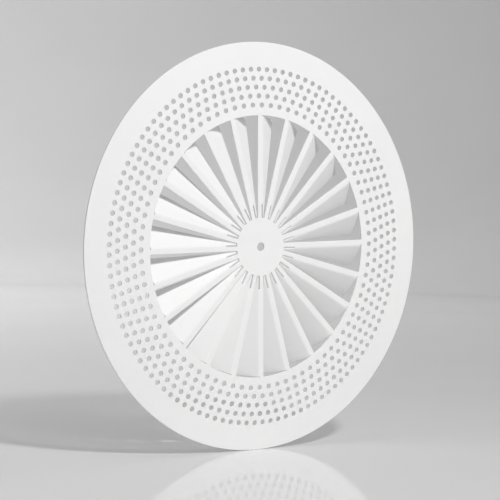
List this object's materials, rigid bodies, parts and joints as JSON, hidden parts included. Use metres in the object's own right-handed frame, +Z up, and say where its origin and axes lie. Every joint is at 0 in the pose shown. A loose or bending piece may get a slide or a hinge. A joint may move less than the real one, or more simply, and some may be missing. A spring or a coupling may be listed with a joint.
{
  "type": "ceiling air diffuser",
  "caption": "Round ceiling swirl air diffuser: a pressed face plate of folded radial vanes with a perforated rim, held by bayonet brackets on a mounting ring.",
  "frame": {"origin": "centre of the mounting plane, which is the back of the ceiling gasket", "axes": "the face looks along -Y with the mounting plane behind it at y = 0, +X is to the right and +Z is up in the plane of the face, as it stands in the picture"},
  "size_m": [0.3999, 0.0158, 0.4],
  "materials": {
    "powder_coat": "matt white powder coat",
    "zinc_plate": "bright zinc plate",
    "galvanised_steel": "galvanised, spangled",
    "seal_foam": "matt closed-cell foam",
    "gasket_foam": "matt closed-cell foam",
    "screw_steel": "zinc-plated screw steel"
  },
  "bodies": {
    "ring": {"mounting_ring": "galvanised_steel", "ceiling_gasket": "gasket_foam", "ring_screws": "screw_steel"},
    "plate": {"face_plate": "powder_coat", "bayonet_bracket_1": "zinc_plate", "bayonet_bracket_2": "zinc_plate", "bayonet_bracket_3": "zinc_plate", "bayonet_bracket_4": "zinc_plate", "plate_seal": "seal_foam"}
  },
  "joints": [
    {"name": "bayonet_turn", "type": "hinge", "parent": "ring", "child": "plate", "pos_m": [0, 0, 0], "axis": [0, -1, 0], "range_deg": [0, 14]}
  ]
}
